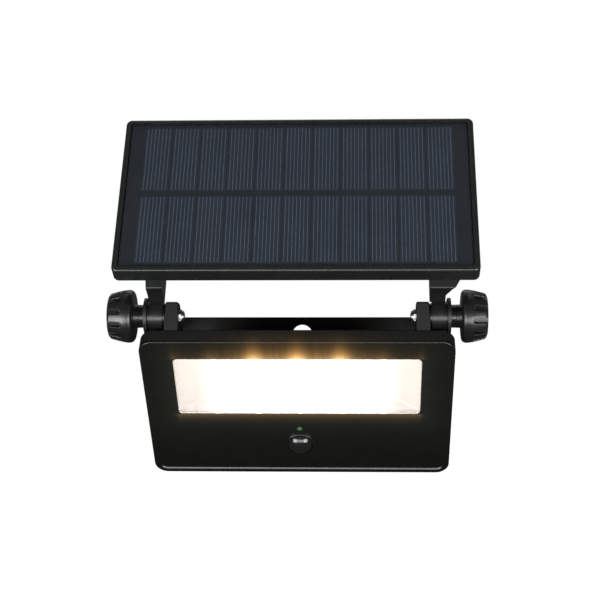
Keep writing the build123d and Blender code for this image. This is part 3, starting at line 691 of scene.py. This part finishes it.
def grip_turns(phase):
    """Turns about the axis, bunched where a grip's walls are."""
    sector = 2 * math.pi / KNOB_GRIPS
    wall = GRIP_HALF / GRIP_MIDDLE_R
    shares = [0.0, 0.35, 0.6, 0.75, 0.84, 0.9, 0.95, 1.0, 1.05, 1.1, 1.16, 1.25, 1.4, 1.7, 2.0]
    one_side = [share * wall for share in shares if share * wall < sector / 2]
    offsets = sorted({-offset for offset in one_side} | set(one_side)) + [sector / 2]
    return [phase + grip * sector + offset for grip in range(KNOB_GRIPS) for offset in offsets]


def smooth_step(value):
    value = min(1.0, max(0.0, value))
    return value * value * (3 - 2 * value)


def knob(side, sign):
    """Turned body with twelve flat-floored grip slots whose inner ends are round."""
    low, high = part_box(f"{side}_knob")
    ends = sorted((abs(low.x), abs(high.x)))
    inner, outer = ends[0] + KNOB_NECK, ends[1]
    radius = (high.z - low.z) / 2
    round_end = outer - GRIP_LENGTH + GRIP_HALF
    phase = GRIP_PHASE[side]
    turns = grip_turns(phase)
    sector = 2 * math.pi / KNOB_GRIPS
    rows = []
    for along, reach in knob_outline(inner, outer, radius):
        reaches = []
        for turn in turns:
            offset = (turn - phase + sector / 2) % sector - sector / 2
            across = math.sin(offset) * max(reach, GRIP_FLOOR)
            distance = math.hypot(across, max(0.0, round_end - along))
            inside = smooth_step((GRIP_HALF + GRIP_WALL / 2 - distance) / GRIP_WALL)
            reaches.append(reach - inside * max(0.0, reach - GRIP_FLOOR))
        rows.append((along, reaches))
    name = f"{side}_hand_knob"
    mesh = turned(name, rows, turns, sign, Matrix.Translation(PIVOT), closed_loop=True)
    piece = new_piece(name, mesh, MATERIALS["knob_black"], f"{side}_clamp_knob")
    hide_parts(f"{side}_knob")


# ---- pivot bolts and lock nuts ---------------------------------------------------------------
HEX_FLATS = 8.0 * MM
BOLT_R = 2.45 * MM
THREAD_PITCH = 0.8 * MM
THREAD_DEPTH = 0.35 * MM
THREAD_SHOWN = 6.0 * MM
HEAD_DEPTH = 3.5 * MM


def hexagonal(turn, corner, cap):
    """Radius of an eight-millimetre hexagon whose corners are cut back to a cone of radius cap."""
    off_flat = (turn - corner) % (math.pi / 3) - math.pi / 6
    return min(HEX_FLATS / 2 / math.cos(off_flat), cap)


def corner_turn(node, place):
    """Turn about X at which a hexagonal node has a corner."""
    inverse = place.inverted()
    points = [inverse @ vertex.co for vertex in NODES[node].data.vertices]
    corner = max(points, key=lambda point: math.hypot(point.y, point.z))
    return math.atan2(-corner.y, corner.z)


def lock_nut(side, sign):
    """Chamfered hexagon with a round collar that holds its nylon ring."""
    low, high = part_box(f"{side}_lock_nut")
    start, end = sorted((abs(low.x), abs(high.x)))
    turns = even_turns(72)
    corner = corner_turn(f"{side}_lock_nut", LAMP_FRAME)
    bore = BOLT_R + 0.08 * MM
    outline = [(start + 0.35 * MM, bore), (start, bore + 0.25 * MM), (start, 2.95 * MM),
               (start + 0.12 * MM, 3.25 * MM), (start + 0.5 * MM, 3.5 * MM), (start + 1.1 * MM, 3.6 * MM),
               (start + 1.2 * MM, 3.8 * MM), (start + 1.7 * MM, 4.62 * MM), (end - 0.4 * MM, 4.62 * MM),
               (end, 3.85 * MM), (end, bore + 0.2 * MM), (end - 0.2 * MM, bore)]
    rows = [(along, [hexagonal(turn, corner, cap) for turn in turns]) for along, cap in outline]
    mesh = turned(f"{side}_nut", rows, turns, sign, LAMP_FRAME, closed_loop=True)
    sharpen(mesh)
    piece = new_piece(f"{side}_nut", mesh, MATERIALS["zinc_steel"], "lamp")
    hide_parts(f"{side}_lock_nut")


def pivot_bolt(side, sign):
    """Hexagon-head bolt; its thread is cut where it shows beyond the nut."""
    low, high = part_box(f"{side}_knob_bolt")
    start, end = sorted((abs(low.x), abs(high.x)))
    turns = even_turns(36)
    corner = corner_turn(f"{side}_knob_bolt", Matrix.Translation(PIVOT))
    rows = [(start, [BOLT_R - 0.6 * MM] * len(turns)),
            (start + 0.25 * MM, [BOLT_R - THREAD_DEPTH] * len(turns))]
    thread_rows = 60
    for step in range(1, thread_rows + 1):
        along = start + 0.25 * MM + THREAD_SHOWN * step / thread_rows
        reaches = []
        for turn in turns:
            phase = (along / THREAD_PITCH - turn / (2 * math.pi)) % 1.0
            reaches.append(BOLT_R - THREAD_DEPTH * abs(2 * phase - 1))
        rows.append((along, reaches))
    head = end - HEAD_DEPTH
    rows.append((start + THREAD_SHOWN + 0.6 * MM, [BOLT_R] * len(turns)))
    rows.append((head, [BOLT_R] * len(turns)))
    for along, cap in ((head, 4.3 * MM), (head + 0.2 * MM, 4.62 * MM), (end - 0.4 * MM, 4.62 * MM),
                       (end, 3.9 * MM), (end, 2.6 * MM), (end - 0.25 * MM, 2.3 * MM)):
        rows.append((along, [hexagonal(turn, corner, cap) for turn in turns]))
    mesh = turned(f"{side}_bolt", rows, turns, sign, Matrix.Translation(PIVOT))
    sharpen(mesh)
    piece = new_piece(f"{side}_bolt", mesh, MATERIALS["zinc_steel"], f"{side}_clamp_knob")
    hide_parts(f"{side}_knob_bolt")


def sharpen(mesh, angle=35.0):
    """Marks edges sharper than the angle, so that flats and chamfers keep their facets."""
    mesh.set_sharp_from_angle(angle=math.radians(angle))


# ---- studio ----------------------------------------------------------------------------------
FLOOR_DROP = 1.0
FLOOR_HALF = 6.0


def world():
    """White backdrop for the camera, a dim soft gradient for everything else."""
    scene_world = bpy.data.worlds.new("studio")
    bpy.context.scene.world = scene_world
    scene_world.use_nodes = True
    nodes, links = scene_world.node_tree.nodes, scene_world.node_tree.links
    fill = nodes["Background"]
    backdrop = nodes.new("ShaderNodeBackground")
    backdrop.inputs["Color"].default_value = (1.0, 1.0, 1.0, 1.0)
    fill.inputs["Strength"].default_value = 1.0
    direction = nodes.new("ShaderNodeTexCoord")
    split = nodes.new("ShaderNodeSeparateXYZ")
    ramp = nodes.new("ShaderNodeValToRGB")
    remap = nodes.new("ShaderNodeMapRange")
    remap.inputs["From Min"].default_value = -1.0
    links.new(direction.outputs["Generated"], split.inputs[0])
    links.new(split.outputs["Z"], remap.inputs["Value"])
    links.new(remap.outputs[0], ramp.inputs[0])
    stops = ((0.0, 0.05), (0.35, 0.07), (0.5, 0.10), (0.65, 0.12), (0.85, 0.14), (1.0, 0.14))
    elements = ramp.color_ramp.elements
    while len(elements) < len(stops):
        elements.new(0.5)
    for element, (position, level) in zip(elements, stops):
        element.position = position
        element.color = (level, level, level * 1.03, 1.0)
    links.new(ramp.outputs[0], fill.inputs["Color"])
    path = nodes.new("ShaderNodeLightPath")
    mix = nodes.new("ShaderNodeMixShader")
    links.new(path.outputs["Is Camera Ray"], mix.inputs[0])
    links.new(fill.outputs[0], mix.inputs[1])
    links.new(backdrop.outputs[0], mix.inputs[2])
    links.new(mix.outputs[0], nodes["World Output"].inputs["Surface"])


def floor():
    corners = ((-1, -1), (1, -1), (1, 1), (-1, 1))
    vertices = [(x * FLOOR_HALF, y * FLOOR_HALF, -FLOOR_DROP) for x, y in corners]
    mesh = mesh_from("floor", vertices, [(0, 1, 2, 3)], smooth=False)
    plane = bpy.data.objects.new("floor", mesh)
    bpy.context.scene.collection.objects.link(plane)
    paint = Finish("floor_white", (0.9, 0.9, 0.9), 0.9)
    paint.shader.inputs["Emission Color"].default_value = (1.0, 1.0, 1.0, 1.0)
    paint.shader.inputs["Emission Strength"].default_value = 0.9
    mesh.materials.append(paint.material)
    plane.visible_glossy = False
    plane.visible_diffuse = False


def softbox(name, azimuth, elevation, distance, size, strength):
    """Area light looking at the object. Azimuth 0 is in front of it, 90 to its right."""
    target = (CAD_BOX[0] + CAD_BOX[1]) / 2
    a, e = math.radians(azimuth), math.radians(elevation)
    away = Vector((math.sin(a) * math.cos(e), -math.cos(a) * math.cos(e), math.sin(e)))
    light = bpy.data.lights.new(name, "AREA")
    light.shape = "RECTANGLE"
    light.size, light.size_y = size
    light.energy = strength * math.pi * size[0] * size[1]
    lamp = bpy.data.objects.new(name, light)
    lamp.location = target + away * distance
    lamp.rotation_euler = away.to_track_quat("Z", "Y").to_euler()
    bpy.context.scene.collection.objects.link(lamp)
    lamp.visible_camera = False


def studio():
    world()
    floor()
    softbox("front", 0.0, -8.0, 1.2, (1.7, 0.42), 6.5)
    for side in (-1, 1):
        softbox(f"front_corner_{side}", side * 42.0, -8.0, 1.3, (0.6, 0.55), 12.0)
        softbox(f"side_{side}", side * 80.0, 15.0, 1.6, (0.5, 0.9), 0.2)
    softbox("top_back", 180.0, 74.0, 1.6, (1.0, 0.8), 1.4)
    softbox("rear", 180.0, 35.0, 1.6, (0.9, 0.7), 0.8)


def camera():
    forward = Vector((-math.sin(CAMERA_AZIMUTH) * math.cos(CAMERA_ELEVATION),
                      math.cos(CAMERA_AZIMUTH) * math.cos(CAMERA_ELEVATION), -math.sin(CAMERA_ELEVATION)))
    level = Vector((math.cos(CAMERA_AZIMUTH), math.sin(CAMERA_AZIMUTH), 0.0))
    upright = level.cross(forward)
    right = level * math.cos(CAMERA_ROLL) + upright * math.sin(CAMERA_ROLL)
    top = right.cross(forward)
    data = bpy.data.cameras.new("camera")
    data.lens = CAMERA_LENS
    data.sensor_width = SENSOR_WIDTH
    eye = bpy.data.objects.new("camera", data)
    turn = Matrix((right, top, -forward)).transposed()
    eye.matrix_world = Matrix.Translation(CAMERA_AIM - forward * CAMERA_DISTANCE) @ turn.to_4x4()
    bpy.context.scene.collection.objects.link(eye)
    bpy.context.scene.camera = eye


dress_nodes()
cell_fingers()
cover_sheet()
for pivot_side, pivot_sign in (("left", -1), ("right", 1)):
    knob(pivot_side, pivot_sign)
    lock_nut(pivot_side, pivot_sign)
    pivot_bolt(pivot_side, pivot_sign)
studio()
camera()
bpy.context.scene.view_settings.view_transform = "Standard"
